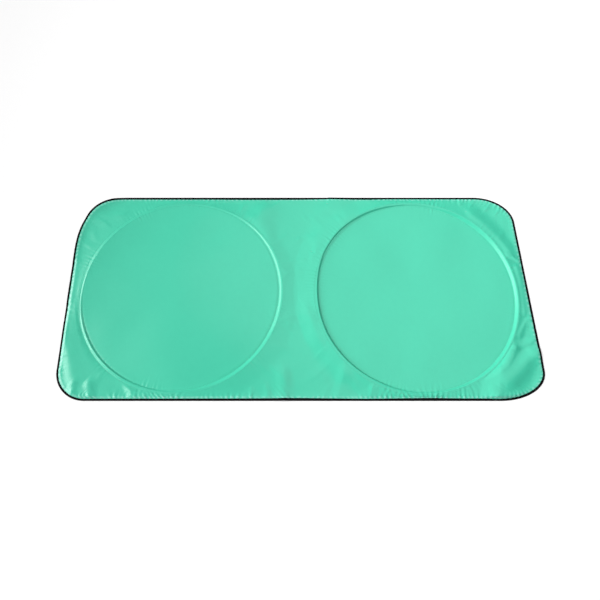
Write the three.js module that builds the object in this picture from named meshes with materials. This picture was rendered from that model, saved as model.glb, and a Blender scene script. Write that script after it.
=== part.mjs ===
// Pop-up windscreen sunshade, opened out and lying flat with its green side up.
// Lengths are in millimetres. X runs along the long edge, Y towards the top edge and Z up.
// The sunshade lies on the plane Z = 0, and its origin is in the middle of its outline.

import * as THREE from 'three';
import { mergeVertices } from 'three/addons/utils/BufferGeometryUtils.js';

// Hoops of spring wire, each closed by a crimped sleeve
const hoopRadius = 325;
const hoopDrop = { left: 1, right: 5 };
const wireRadius = 1;
const wireEndGap = 2;
const sleeveLength = 24;
const sleeveWall = 0.4;
const sleeveAngle = { left: -90, right: -90 };

// Cloth
const panelThickness = 0.4;
const tapeThickness = 0.5;
const bindingThickness = 0.5;
const bindingWidth = 8;

// Sewing: the channel is the cloth between its two seams, and the tape reaches past them
const channelWidth = 12;
const seamAllowance = 3;
const threadWidth = 0.8;
const threadHeight = 0.5;
const channelSeamOffset = 1.2;
const bindingSeamInset = 2;

// Free cloth round the hoops: to the long edges, to the short edges and between the hoops
const edgeRoom = 8;
const endRoom = 25.5;
const middleRoom = 97;

// Both short edges lean, to the left at the top and to the right at the bottom
const sideLean = 9;

// How far each rounded corner reaches along the long edge and along the short edge
const cornerReach = {
  left: { top: [140, 135], bottom: [95, 92] },
  right: { top: [127, 97], bottom: [150, 90] },
};

// Play between pieces that are sewn, crimped or folded on one another
const clearance = 0.3;

// Soft folds of the slack cloth outside the hoops. Each is a low ridge between two places,
// given by the angle round its hoop in degrees and the distance outside the tape.
const folds = [
  { hoop: 'left', from: [197, 38], to: [228, 100], spread: 20, height: 8 },
  { hoop: 'left', from: [134, 68], to: [161, 39], spread: 24, height: 5 },
  { hoop: 'left', from: [49, 19], to: [48, 72], spread: 26, height: 3 },
  { hoop: 'left', from: [-38, 98], to: [-45, 148], spread: 14, height: 4 },
  { hoop: 'right', from: [149, 43], to: [134, 88], spread: 28, height: 4 },
  { hoop: 'right', from: [191, 25], to: [227, 17], spread: 26, height: 5 },
  { hoop: 'right', from: [52, 17], to: [24, 15], spread: 17, height: 5 },
  { hoop: 'right', from: [14, 16], to: [-11, 12], spread: 13, height: 4 },
  { hoop: 'right', from: [-59, 35], to: [-43, 10], spread: 22, height: 5 },
  { hoop: 'right', from: [-48, 50], to: [-30, 71], spread: 20, height: 6 },
];

// The cloth lies flat at the tape, and it is slack from this far outside it
const slackReach = 25;

// Mesh steps round one hoop: those that face the outline, then those that face the other hoop
const outlineSteps = { top: 15, topCorner: 7, side: 12, bottomCorner: 7, bottom: 15 };
const middleSteps = 16;
const rimSteps = Object.values(outlineSteps).reduce((sum, steps) => sum + steps);
const ringSteps = rimSteps + middleSteps;
const ringStep = 2 * Math.PI / ringSteps;
const skirtLevels = 4;
const wireSides = 6;
const sleeveSides = 8;

// Plan, worked out from the hoops outwards
const tapeHalf = channelWidth / 2 + seamAllowance;
const hoopX = middleRoom / 2 + tapeHalf + hoopRadius;
const halfLength = hoopX + hoopRadius + tapeHalf + endRoom + bindingWidth;
const halfDepth = hoopRadius + tapeHalf + edgeRoom + bindingWidth;
const sides = { left: -1, right: 1 };
const hoopCentre = {
  left: new THREE.Vector2(-hoopX, -hoopDrop.left),
  right: new THREE.Vector2(hoopX, -hoopDrop.right),
};

// Heights, worked out from the floor upwards
const panelUnder = Math.max(tapeThickness, bindingThickness) + clearance;
const panelTop = panelUnder + panelThickness;
const boreRadius = (wireRadius + clearance) / Math.cos(Math.PI / sleeveSides);
const sleeveRadius = boreRadius + sleeveWall;
const wireHeight = tapeThickness + clearance + sleeveRadius;

// The cloth over the wire is an eighth-turn polygon round the sleeve, from seam to seam
const eighthTurn = Math.PI / 4;
const ridgeReach = (sleeveRadius + clearance) / Math.cos(eighthTurn / 2);
const ridgeShoulder = ridgeReach * Math.cos(eighthTurn);
const ridge = [
  [-tapeHalf, panelUnder],
  [-channelWidth / 2, panelUnder],
  [-ridgeShoulder, wireHeight + ridgeShoulder],
  [0, wireHeight + ridgeReach],
  [ridgeShoulder, wireHeight + ridgeShoulder],
  [channelWidth / 2, panelUnder],
  [tapeHalf, panelUnder],
];

const materials = {
  panel: new THREE.MeshStandardMaterial({ color: 0x5cd6b6, roughness: 0.5, metalness: 0 }),
  tape: new THREE.MeshStandardMaterial({ color: 0xb9bdc0, roughness: 0.6, metalness: 0.2 }),
  binding: new THREE.MeshStandardMaterial({ color: 0x121314, roughness: 0.8, metalness: 0 }),
  greenThread: new THREE.MeshStandardMaterial({ color: 0x3fae90, roughness: 0.6, metalness: 0 }),
  blackThread: new THREE.MeshStandardMaterial({ color: 0x1a1b1c, roughness: 0.6, metalness: 0 }),
  wire: new THREE.MeshStandardMaterial({ color: 0x8c9196, roughness: 0.35, metalness: 1 }),
  sleeve: new THREE.MeshStandardMaterial({ color: 0xb4b6b8, roughness: 0.4, metalness: 1 }),
};

function polar(centre, angle, radius) {
  return new THREE.Vector2(Math.cos(angle), Math.sin(angle)).multiplyScalar(radius).add(centre);
}

// Height of the folds

function foldPlace(fold, end) {
  const [angle, beyond] = fold[end];
  return polar(hoopCentre[fold.hoop], angle * Math.PI / 180, hoopRadius + tapeHalf + beyond);
}

const foldLines = folds.map((fold) => ({
  from: foldPlace(fold, 'from'),
  to: foldPlace(fold, 'to'),
  spread: fold.spread,
  height: fold.height,
}));

function distanceToLine(point, line) {
  const along = line.to.clone().sub(line.from);
  const share = point.clone().sub(line.from).dot(along) / along.lengthSq();
  const nearest = line.from.clone().addScaledVector(along, THREE.MathUtils.clamp(share, 0, 1));
  return nearest.distanceTo(point);
}

function lift(point) {
  const fromLeft = point.distanceTo(hoopCentre.left);
  const fromRight = point.distanceTo(hoopCentre.right);
  const outside = Math.min(fromLeft, fromRight) - hoopRadius - tapeHalf;
  const slack = THREE.MathUtils.smoothstep(outside, 0, slackReach);
  let height = 0;
  for (const line of foldLines) {
    height += line.height * Math.exp(-((distanceToLine(point, line) / line.spread) ** 2));
  }
  return slack * height;
}

// Outline of one half of the panel, from the middle of the top edge to the middle of the bottom edge

function shortEdgeX(side, y) {
  return side * halfLength - sideLean * y / halfDepth;
}

function cornerCurve(name, end) {
  const side = sides[name];
  const up = end === 'top' ? 1 : -1;
  const [alongLong, alongShort] = cornerReach[name][end];
  const tip = new THREE.Vector2(shortEdgeX(side, up * halfDepth), up * halfDepth);
  const longEnd = new THREE.Vector2(tip.x - side * alongLong, tip.y);
  const shortY = up * (halfDepth - alongShort);
  const shortEnd = new THREE.Vector2(shortEdgeX(side, shortY), shortY);
  // Handles that make a cubic curve follow a quarter of an ellipse
  const roundness = 4 / 3 * Math.tan(Math.PI / 8);
  const longHandle = longEnd.clone().lerp(tip, roundness);
  const shortHandle = shortEnd.clone().lerp(tip, roundness);
  const curve = up > 0
    ? new THREE.CubicBezierCurve(longEnd, longHandle, shortHandle, shortEnd)
    : new THREE.CubicBezierCurve(shortEnd, shortHandle, longHandle, longEnd);
  return { curve, longEnd, shortEnd };
}

function halfOutline(name) {
  const side = sides[name];
  const top = cornerCurve(name, 'top');
  const bottom = cornerCurve(name, 'bottom');
  const topMiddle = new THREE.Vector2(0, halfDepth);
  const bottomMiddle = new THREE.Vector2(0, -halfDepth);
  const parts = [
    [new THREE.LineCurve(topMiddle, top.longEnd), outlineSteps.top],
    [top.curve, outlineSteps.topCorner],
    [new THREE.LineCurve(top.shortEnd, bottom.shortEnd), outlineSteps.side],
    [bottom.curve, outlineSteps.bottomCorner],
    [new THREE.LineCurve(bottom.longEnd, bottomMiddle), outlineSteps.bottom],
  ];
  const stations = [];
  for (const [curve, steps] of parts) {
    for (let i = 0; i < steps; i += 1) {
      stations.push(station(curve, i / steps, side));
    }
  }
  stations.push(station(parts.at(-1)[0], 1, side));
  return stations;
}

// A station holds a point of the outline and the way to the middle of the cloth from there
function station(curve, share, side) {
  const tangent = curve.getTangent(share);
  const inward = new THREE.Vector2(side * tangent.y, -side * tangent.x);
  return { edge: curve.getPoint(share), inward };
}

function insetPoint(at, inset) {
  return at.edge.clone().addScaledVector(at.inward, inset);
}

// Height of the folds at a distance inside the outline, straight from the edge to the binding's
// inner edge, so that the cloth and the binding folded over it rise together
function edgeLift(at, inset) {
  const share = THREE.MathUtils.clamp(inset / bindingWidth, 0, 1);
  return THREE.MathUtils.lerp(lift(at.edge), lift(insetPoint(at, bindingWidth)), share);
}

// Meshes made from vertices and four-sided faces

class MeshBuilder {
  constructor() {
    this.positions = [];
    this.indices = [];
  }

  vertex(point, z) {
    this.positions.push(point.x, point.y, z);
    return this.positions.length / 3 - 1;
  }

  face(a, b, c, flipped) {
    this.indices.push(a, flipped ? c : b, flipped ? b : c);
  }

  heightBetween(a, b) {
    return Math.abs(this.positions[3 * a + 2] - this.positions[3 * b + 2]);
  }

  // Splits four corners along the flatter diagonal, so that layers that rise together fold alike
  quad(a, b, c, d, flipped) {
    if (this.heightBetween(a, c) <= this.heightBetween(b, d)) {
      this.face(a, b, c, flipped);
      this.face(a, c, d, flipped);
    } else {
      this.face(a, b, d, flipped);
      this.face(b, c, d, flipped);
    }
  }

  geometry() {
    const geometry = new THREE.BufferGeometry();
    geometry.setAttribute('position', new THREE.Float32BufferAttribute(this.positions, 3));
    geometry.setIndex(this.indices);
    return mergeVertices(geometry);
  }
}

// Panel: one sheet of cloth, raised over both hoops, with its slack folds outside them

// The grid of one half: rings round the hoop, then levels from the tape to the outline
function halfGrid(name) {
  const side = sides[name];
  const centre = hoopCentre[name];
  const rim = halfOutline(name);
  const lowest = insetPoint(rim.at(-1), bindingWidth);
  const highest = insetPoint(rim[0], bindingWidth);
  const spokes = [];
  for (let k = 0; k < ringSteps; k += 1) {
    const turn = (k + middleSteps / 2) * ringStep;
    const angle = side < 0 ? turn : Math.PI - turn;
    const spoke = ridge.map(([offset, z]) => ({ point: polar(centre, angle, hoopRadius + offset), z }));
    const tapeEdge = spoke.at(-1).point;
    const onRim = k <= rimSteps;
    const inner = onRim
      ? insetPoint(rim[k], bindingWidth)
      : lowest.clone().lerp(highest, (k - rimSteps) / middleSteps);
    for (let level = 1; level <= skirtLevels; level += 1) {
      const point = tapeEdge.clone().lerp(inner, level / skirtLevels);
      spoke.push({ point, z: panelUnder + lift(point) });
    }
    if (onRim) {
      spoke.push({ point: rim[k].edge, z: panelUnder + lift(rim[k].edge) });
    }
    spokes.push(spoke);
  }
  return { centre, spokes, flipped: side > 0 };
}

function addSheetSide(builder, grid, raise, flipped) {
  const { centre, spokes } = grid;
  const hub = builder.vertex(centre, panelUnder + raise);
  const rows = spokes.map((spoke) => spoke.map(({ point, z }) => builder.vertex(point, z + raise)));
  rows.forEach((row, k) => {
    const next = rows[(k + 1) % rows.length];
    builder.face(hub, row[0], next[0], flipped);
    const levels = Math.min(row.length, next.length);
    for (let level = 0; level + 1 < levels; level += 1) {
      builder.quad(row[level], row[level + 1], next[level + 1], next[level], flipped);
    }
  });
  return rows;
}

function panelGeometry() {
  const builder = new MeshBuilder();
  for (const name of Object.keys(sides)) {
    const grid = halfGrid(name);
    const under = addSheetSide(builder, grid, 0, !grid.flipped);
    const upper = addSheetSide(builder, grid, panelThickness, grid.flipped);
    for (let k = 0; k < rimSteps; k += 1) {
      builder.quad(under[k].at(-1), under[k + 1].at(-1), upper[k + 1].at(-1), upper[k].at(-1), grid.flipped);
    }
  }
  return builder.geometry();
}

// Binding: one tape folded over the edge of the cloth all round, with its sewing thread

function wholeOutline() {
  const left = halfOutline('left');
  const right = halfOutline('right').reverse();
  return [...left.slice(0, -1), ...right.slice(0, -1)];
}

// Carries a closed section of [distance inside the outline, height] round the outline
function roundOutline(section) {
  const builder = new MeshBuilder();
  const rows = wholeOutline().map((at) => section.map(
    ([inset, z]) => builder.vertex(insetPoint(at, inset), z + edgeLift(at, inset)),
  ));
  rows.forEach((row, k) => {
    const next = rows[(k + 1) % rows.length];
    row.forEach((corner, i) => {
      const j = (i + 1) % row.length;
      builder.quad(corner, next[i], next[j], row[j], false);
    });
  });
  return builder.geometry();
}

const bindingInside = panelTop + clearance;
const bindingTop = bindingInside + bindingThickness;

function bindingGeometry() {
  const outside = -clearance - bindingThickness;
  return roundOutline([
    [outside, 0],
    [outside, bindingTop],
    [bindingWidth, bindingTop],
    [bindingWidth, bindingInside],
    [-clearance, bindingInside],
    [-clearance, bindingThickness],
    [bindingWidth, bindingThickness],
    [bindingWidth, 0],
  ]);
}

function bindingSeamGeometry() {
  const middle = bindingWidth - bindingSeamInset;
  const foot = bindingTop + clearance;
  return roundOutline([
    [middle - threadWidth / 2, foot],
    [middle, foot + threadHeight],
    [middle + threadWidth / 2, foot],
  ]);
}

// Rings round one hoop: a closed section of [distance from the wire, height] turned about the centre

function ringGeometry(name, section) {
  const profile = [...section, section[0]].map(
    ([offset, z]) => new THREE.Vector2(hoopRadius + offset, z),
  );
  const geometry = new THREE.LatheGeometry(profile, ringSteps);
  geometry.rotateX(Math.PI / 2);
  geometry.translate(hoopCentre[name].x, hoopCentre[name].y, 0);
  return geometry;
}

function tapeGeometry(name) {
  return ringGeometry(name, [
    [-tapeHalf, 0],
    [tapeHalf, 0],
    [tapeHalf, tapeThickness],
    [-tapeHalf, tapeThickness],
  ]);
}

function channelSeamGeometry(name, outward) {
  const middle = outward * (channelWidth / 2 + channelSeamOffset);
  const foot = panelTop + clearance;
  return ringGeometry(name, [
    [middle - threadWidth / 2, foot],
    [middle + threadWidth / 2, foot],
    [middle, foot + threadHeight],
  ]);
}

// Hoop wire and sleeve, swept along the hoop

// The hoop's circle through a list of angles, where a piece swept along it bends
class HoopArc extends THREE.Curve {
  constructor(name, angles) {
    super();
    this.centre = hoopCentre[name];
    this.angles = angles;
  }

  getPoint(share, target = new THREE.Vector3()) {
    const place = share * (this.angles.length - 1);
    const before = Math.min(Math.floor(place), this.angles.length - 2);
    const angle = THREE.MathUtils.lerp(this.angles[before], this.angles[before + 1], place - before);
    const point = polar(this.centre, angle, hoopRadius);
    return target.set(point.x, point.y, wireHeight);
  }

  getUtoTmapping(share) {
    return share;
  }
}

function sweep(section, name, angles, sectionSides) {
  return new THREE.ExtrudeGeometry(section, {
    extrudePath: new HoopArc(name, angles),
    steps: angles.length - 1,
    curveSegments: sectionSides / 2,
  });
}

function wireGeometry(name) {
  const joint = sleeveAngle[name] * Math.PI / 180;
  const ends = [wireEndGap / 2 / hoopRadius, sleeveLength / 2 / hoopRadius];
  const stations = Array.from({ length: ringSteps - 1 }, (_, i) => (i + 1) * ringStep);
  const turns = [...ends, ...stations, ...ends.map((turn) => 2 * Math.PI - turn).reverse()];
  const section = new THREE.Shape().absarc(0, 0, wireRadius, 0, 2 * Math.PI);
  return sweep(section, name, turns.map((turn) => joint + turn), wireSides);
}

function sleeveGeometry(name) {
  const joint = sleeveAngle[name] * Math.PI / 180;
  const end = sleeveLength / 2 / hoopRadius;
  const section = new THREE.Shape().absarc(0, 0, sleeveRadius, 0, 2 * Math.PI);
  section.holes.push(new THREE.Path().absarc(0, 0, boreRadius, 0, 2 * Math.PI, true));
  return sweep(section, name, [joint - end, joint, joint + end], sleeveSides);
}

// Assembly

const group = new THREE.Group();

function addPiece(name, geometry, material) {
  const piece = new THREE.Mesh(geometry, material);
  piece.name = name;
  group.add(piece);
}

addPiece('panel', panelGeometry(), materials.panel);
addPiece('edge_binding', bindingGeometry(), materials.binding);
addPiece('binding_seam', bindingSeamGeometry(), materials.blackThread);
for (const name of Object.keys(sides)) {
  addPiece(`casing_tape_${name}`, tapeGeometry(name), materials.tape);
  addPiece(`hoop_wire_${name}`, wireGeometry(name), materials.wire);
  addPiece(`hoop_sleeve_${name}`, sleeveGeometry(name), materials.sleeve);
  addPiece(`inner_seam_${name}`, channelSeamGeometry(name, -1), materials.greenThread);
  addPiece(`outer_seam_${name}`, channelSeamGeometry(name, 1), materials.greenThread);
}

// The origin is in the middle of the outline, which leans and has unlike corners
const middle = new THREE.Box3().setFromObject(group).getCenter(new THREE.Vector3());
group.position.set(-middle.x, -middle.y, 0);

export default group;
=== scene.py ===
# Pop-up windscreen sunshade, opened out and lying flat with its green side up.
import math

import bpy
import numpy as np
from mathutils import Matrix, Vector


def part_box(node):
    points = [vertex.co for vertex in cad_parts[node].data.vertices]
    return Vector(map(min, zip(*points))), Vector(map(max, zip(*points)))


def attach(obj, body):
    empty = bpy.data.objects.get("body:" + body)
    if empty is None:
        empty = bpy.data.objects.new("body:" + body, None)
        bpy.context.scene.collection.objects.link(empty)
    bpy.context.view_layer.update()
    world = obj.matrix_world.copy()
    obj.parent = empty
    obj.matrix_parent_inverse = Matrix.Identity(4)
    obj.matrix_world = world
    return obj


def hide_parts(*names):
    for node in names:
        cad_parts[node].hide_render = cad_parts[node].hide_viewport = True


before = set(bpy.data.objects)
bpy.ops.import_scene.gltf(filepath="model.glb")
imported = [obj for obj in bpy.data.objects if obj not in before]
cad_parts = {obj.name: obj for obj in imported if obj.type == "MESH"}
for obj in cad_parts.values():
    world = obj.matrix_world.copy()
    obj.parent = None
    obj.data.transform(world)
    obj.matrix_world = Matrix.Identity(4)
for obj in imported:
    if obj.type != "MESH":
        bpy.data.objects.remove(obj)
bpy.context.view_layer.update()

# Lengths are in millimetres until a mesh is made from them.
MM = 0.001

# Plan of the part, from the frame

HOOP_RADIUS = 325.0
CASING_HALF_WIDTH = 9.0
SEAM_OFFSET = 7.2
CLOTH_THICKNESS = 0.4
CLOTH_TOP = 1.2
BINDING_WIDTH = 8.0
BINDING_PROUD = 0.8
# Cloth between the casing and the binding at each end, and how far each short edge leans
END_ROOM = 25.5
SIDE_LEAN = 9.0
SIDES = {"left": -1, "right": 1}

# How far each corner reaches along the long and the short edge, and how full it is
CORNER_REACH = {
    "left": {"top": (163, 210, 0.69), "bottom": (95, 92, 0.552)},
    "right": {"top": (127, 97, 0.552), "bottom": (150, 90, 0.552)},
}


def node_box(name):
    """Lowest and highest corner of a solid, in millimetres."""
    low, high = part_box(name)
    return np.array(low) / MM, np.array(high) / MM


def hoop_centre(name):
    low, high = node_box(f"casing_tape_{name}")
    return (low[:2] + high[:2]) / 2


HOOP_CENTRE = {name: hoop_centre(name) for name in SIDES}
MIDDLE_X = (HOOP_CENTRE["left"][0] + HOOP_CENTRE["right"][0]) / 2
HALF_DEPTH = node_box("edge_binding")[1][1] - BINDING_PROUD
HALF_LENGTH = (
    HOOP_CENTRE["right"][0] - MIDDLE_X + HOOP_RADIUS + CASING_HALF_WIDTH + END_ROOM + BINDING_WIDTH
)

# Outline of the cloth
#
# Spokes of mesh from a hoop's middle to the rim and to the line between the halves, and the points on
# each part of the rim that the places of the spokes are read from
RIM_COUNT = 700
MIDDLE_STEPS = 200
SPOKES = RIM_COUNT + MIDDLE_STEPS
RIM_DETAIL = 400


def short_edge_x(side, y):
    return MIDDLE_X + side * HALF_LENGTH - SIDE_LEAN * y / HALF_DEPTH


def straight(start, end, steps):
    """Points and directions at even steps from start, without the end."""
    share = np.arange(steps)[:, None] / steps
    start, end = np.array(start, float), np.array(end, float)
    way = (end - start) / np.linalg.norm(end - start)
    return start + (end - start) * share, np.repeat(way[None], steps, 0)


def rounded(start, tip, end, fullness, steps):
    """The same on a curve from start to end, with its corner at tip."""
    start, tip, end = (np.array(p, float) for p in (start, tip, end))
    a, b = start + (tip - start) * fullness, end + (tip - end) * fullness
    t = np.arange(steps)[:, None] / steps
    points = (1 - t) ** 3 * start + 3 * (1 - t) ** 2 * t * a + 3 * (1 - t) * t**2 * b + t**3 * end
    ways = 3 * (1 - t) ** 2 * (a - start) + 6 * (1 - t) * t * (b - a) + 3 * t**2 * (end - b)
    return points, ways / np.linalg.norm(ways, axis=1, keepdims=True)


def half_rim(name):
    """Rim of one half from the middle of its top edge to the middle of its bottom edge, at even turns
    round the hoop, with the direction inwards from each point."""
    side = SIDES[name]
    corners = {}
    for end, up in (("top", 1), ("bottom", -1)):
        along_long, along_short, fullness = CORNER_REACH[name][end]
        tip = np.array([short_edge_x(side, up * HALF_DEPTH), up * HALF_DEPTH])
        y = up * (HALF_DEPTH - along_short)
        on_long, on_short = (tip[0] - side * along_long, tip[1]), (short_edge_x(side, y), y)
        corners[end] = on_long, tip, on_short, fullness
    top, bottom = corners["top"], corners["bottom"]
    parts = [
        straight((MIDDLE_X, HALF_DEPTH), top[0], RIM_DETAIL),
        rounded(*top, RIM_DETAIL),
        straight(top[2], bottom[2], RIM_DETAIL),
        rounded(bottom[2], bottom[1], bottom[0], bottom[3], RIM_DETAIL),
        straight(bottom[0], (MIDDLE_X, -HALF_DEPTH), RIM_DETAIL),
    ]
    points = np.concatenate([p for p, _ in parts] + [[[MIDDLE_X, -HALF_DEPTH]]])
    ways = np.concatenate([w for _, w in parts] + [parts[-1][1][-1:]])
    away = points - HOOP_CENTRE[name]
    turn = np.arctan2(away[:, 1], -side * away[:, 0]) % (2 * math.pi)
    even = np.linspace(turn[0], turn[-1], RIM_COUNT + 1)
    x, y, x_way, y_way = (np.interp(even, turn, row) for row in (*points.T, *ways.T))
    inward = np.column_stack([side * y_way, -side * x_way])
    return np.column_stack([x, y]), inward / np.linalg.norm(inward, axis=1, keepdims=True)


RIM = {name: half_rim(name) for name in SIDES}
LOOP_POINTS = np.concatenate([RIM["left"][0][:-1], RIM["right"][0][::-1][:-1]])
LOOP_INWARD = np.concatenate([RIM["left"][1][:-1], RIM["right"][1][::-1][:-1]])
LOOP_STEP = np.linalg.norm(np.roll(LOOP_POINTS, -1, 0) - LOOP_POINTS, axis=1)
LOOP_RUN = np.concatenate([[0], np.cumsum(LOOP_STEP)[:-1]])
LOOP_LENGTH = LOOP_STEP.sum()

# Height of the cloth


def smoothstep(value, low, high):
    t = np.clip((value - low) / (high - low), 0, 1)
    return t * t * (3 - 2 * t)


class Unevenness:
    """Uneven waves once round a closed seam, between two counts of waves, about one high."""

    def __init__(self, seed, fewest, most, terms=24):
        chance = np.random.default_rng(seed)
        self.counts = chance.integers(fewest, most + 1, terms)
        self.phases = chance.uniform(0, 2 * math.pi, terms)

    def __call__(self, turn):
        cosines = np.cos(np.multiply.outer(turn, self.counts) + self.phases)
        return cosines.sum(-1) * math.sqrt(2 / len(self.counts))


# Rolls of slack cloth: hoop, [angle round it, distance outside its casing] twice, spread to the left
# and to the right of the way from the first place to the second, and height
ROLLS = [
    ("left", (197, 44), (222, 100), 40, 16, 1.5),
    ("left", (128, 119), (139, 130), 30, 60, 8),
    ("left", (148, 121), (163, 76), 30, 46, 6),
    ("left", (171, 53), (183, 42), 30, 22, 3),
    ("left", (49, 19), (48, 72), 26, 45, 3),
    ("left", (-38, 98), (-45, 148), 14, 20, 4),
    ("right", (149, 43), (134, 88), 28, 70, 3),
    ("right", (191, 25), (227, 17), 40, 26, 2),
    ("right", (52, 17), (24, 15), 30, 17, 4),
    ("right", (14, 16), (-11, 12), 14, 13, 3),
    ("right", (-48, 50), (-30, 71), 20, 24, 6),
]
# How far outside a casing the rolls reach their whole height
SLACK_REACH = 25.0

# Finer creases: start and end, from the middle between the hoops, spread to the left and to the
# right of the way, and height
SEEN_CREASES = [
    ((-737, -150), (-676, -335), 90, 14, 3.2),
    ((600, -345), (622, -246), 34, 62, 10.5),
    ((586, -318), (592, -345), 12, 8, 1.5),
    ((640, -232), (676, -190), 13, 7, 2.6),
    ((676, -190), (730, -172), 13, 7, 2.2),
    ((696, -148), (730, -96), 6, 11, 2.0),
    ((694, 128), (736, 106), 9, 4, 2.2),
    ((655, -300), (700, -262), 9, 6, 1.6),
    ((-690, -300), (-684, -336), 9, 5, 3.0),
    ((-640, -300), (-628, -345), 14, 8, 3.4),
    ((-520, -296), (-496, -345), 22, 12, 3.0),
    ((-470, -322), (-462, -345), 12, 9, 1.6),
    ((144, -250), (120, -335), 22, 14, 2.0),
    ((62, -158), (40, -90), 26, 20, 1.6),
    ((-122, 212), (-132, 300), 46, 36, 3.4),
    ((190, 216), (150, 318), 40, 30, 2.6),
    ((224, -312), (216, -338), 12, 8, 2.0),
    ((-95, -312), (-95, -338), 8, 7, 1.8),
    ((-141, -318), (-146, -338), 7, 6, 1.6),
    ((648, 300), (664, 318), 5, 6, 1.5),
    ((684, 286), (700, 300), 5, 6, 1.5),
    ((566, 322), (570, 338), 5, 5, 1.2),
    ((600, 316), (612, 334), 5, 5, 1.2),
    ((-330, 334), (-250, 338), 8, 6, 0.8),
]

# The cloth beside each hoop, at angles round it: the level inside its inner seam and outside its outer
# seam, over the flat cloth, and how far outside that falls away; where the outer level starts and
# stops rising, from the wire outwards; how far outwards the crest strays from the wire, how steep the
# ridge is, and how deep the inner seam is drawn in
BESIDE = {
    "left": [
        (0, 1.4, 4.8, 45, -1.0, 5.5, 2.0, 1.3, 1.1), (25, 1.4, 4.6, 40, -1.0, 5.5, 2.0, 1.3, 1.0),
        (45, 1.4, 3.8, 40, -1.5, 4.0, 1.0, 1.0, 0.5), (70, 2.4, 2.9, 30, -1.5, 3.0, 0, 1.0, 0.2),
        (100, 3.2, 2.6, 25, -1.5, 3.0, 0, 1.0, 0.1), (125, 4.8, 2.6, 50, -1.5, 3.0, 0.5, 1.0, 0.1),
        (150, 6.3, 2.8, 60, -1.5, 3.0, 0, 0.9, 0.1), (168, 5.6, 3.6, 60, -1.5, 3.0, -0.5, 0.8, 0.1),
        (180, 4.6, 4.1, 60, -1.5, 3.5, -1.0, 0.8, 0.1), (190, 3.2, 3.4, 45, -1.5, 3.5, -1.5, 0.9, 0.2),
        (205, 0.8, 1.0, 25, -1.5, 3.0, -2.0, 1.1, 0.5), (218, 0.6, 0.0, 25, -1.5, 3.0, -1.8, 1.1, 0.5),
        (235, 0.6, 0.0, 25, -1.5, 3.0, -2.0, 1.1, 0.5),
        (255, 1.2, 2.2, 20, -1.5, 3.0, -1.5, 1.2, 0.2), (270, 2.2, 2.8, 20, -1.5, 3.0, 0, 1.0, 0.1),
        (285, 1.4, 3.8, 25, -1.5, 3.0, 0, 1.0, 0.2), (300, 0.6, 5.2, 50, -1.5, 3.5, 1.0, 1.3, 1.0),
        (330, 1.0, 5.2, 55, -1.5, 4.0, 1.8, 1.3, 1.2),
    ],
    "right": [
        (0, 0.5, 5.6, 22, -4.5, 5.0, 2.5, 1.1, 0.5), (25, 0.5, 7.0, 50, -4.5, 6.0, 2.5, 1.1, 0.4),
        (55, 0.3, 8.4, 70, -4.5, 6.5, 2.5, 1.1, 0.4), (75, 1.4, 5.6, 40, -3.0, 5.0, 1.0, 1.0, 0.2),
        (90, 2.4, 5.0, 20, -4.0, 2.0, 0.5, 1.0, 0.1), (105, 2.6, 7.4, 35, -4.0, 2.0, 0, 1.0, 0.1),
        (122, 2.4, 8.6, 60, -2.5, 4.0, 0, 1.0, 0.1), (140, 2.4, 8.8, 60, -0.5, 6.5, 0, 1.0, 0.1),
        (155, 2.4, 7.8, 80, -1.5, 5.0, 0, 1.0, 0.1), (170, 1.8, 6.8, 70, -5.5, 0.5, 0, 1.2, 0.1),
        (182, 1.2, 7.4, 65, -8.0, -2.0, -1.5, 1.3, 0.2), (205, 0.9, 8.6, 60, -6.5, 0.0, -2.5, 1.3, 0.3),
        (228, 0.9, 8.4, 55, -7.0, -0.5, -2.5, 1.3, 0.3), (246, 0.9, 5.6, 45, -8.0, -2.0, -2.5, 1.2, 0.2),
        (262, 1.2, 3.0, 20, -4.0, 1.0, -0.5, 1.0, 0.2), (280, 1.2, 3.4, 20, -1.5, 3.0, 0, 1.0, 0.3),
        (295, 0.6, 3.6, 60, -3.0, 4.0, 1.0, 1.1, 0.4), (312, 0.5, 5.4, 50, -3.5, 4.5, 2.0, 1.1, 0.4),
        (335, 0.5, 5.2, 25, -4.0, 4.5, 2.5, 1.1, 0.5),
    ],
}
# How far inside the inner seam the level there falls away
INSIDE_REACH = {"left": 80.0, "right": 60.0}
# Width of the groove along each seam, and its depth on the outer one
GROOVE_WIDTH, OUTER_GROOVE = 2.1, 0.14

# Puckers at the seams: their height on a seam, inside the inner one and outside the outer one, how far
# they reach, and how much the binding holds them down where it is near
SEAM_PUCKER_HEIGHT, INNER_PUCKER_HEIGHT = 0.12, 0.10
OUTER_PUCKER_HEIGHT = {"left": 0.2, "right": 0.34}
SEAM_PUCKER_REACH = 13.0
HELD_BY_RIM = {"left": 0.85, "right": 0.0}

# Bead of the cloth beside the binding: height, distance inside the rim, and width
RIM_BEAD = (1.0, 12.0, 3.5)
# The deepest pucker, and the least height of the green face
DEEPEST_PUCKER, LEAST_HEIGHT = -0.45, 1.0

# Low mounds of the cloth inside the hoops: place from the hoop's middle, radius and height
MOUNDS = {
    "left": [(20, -190, 150, 4.0), (-40, 60, 150, 2.5), (130, -120, 120, 2.0)],
    "right": [(-150, 120, 110, 3.0), (60, 180, 90, 3.0), (90, -60, 150, 3.0)],
}

# Height of the cloth over the wire alone: distance from the wire, height over the flat cloth
RIDGE = np.array([
    (0.0, 4.08), (0.8, 3.97), (1.6, 3.6), (2.4, 3.05), (3.4, 2.25), (4.6, 1.25), (6.1, 0.3),
    (7.2, 0.0),
])

# The least height that keeps the cloth off the wire, in the same way
OVER_WIRE = np.array([(0.0, 3.1), (1.2, 2.9), (3.4, 0.9), (5.0, 0.0)])

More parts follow.
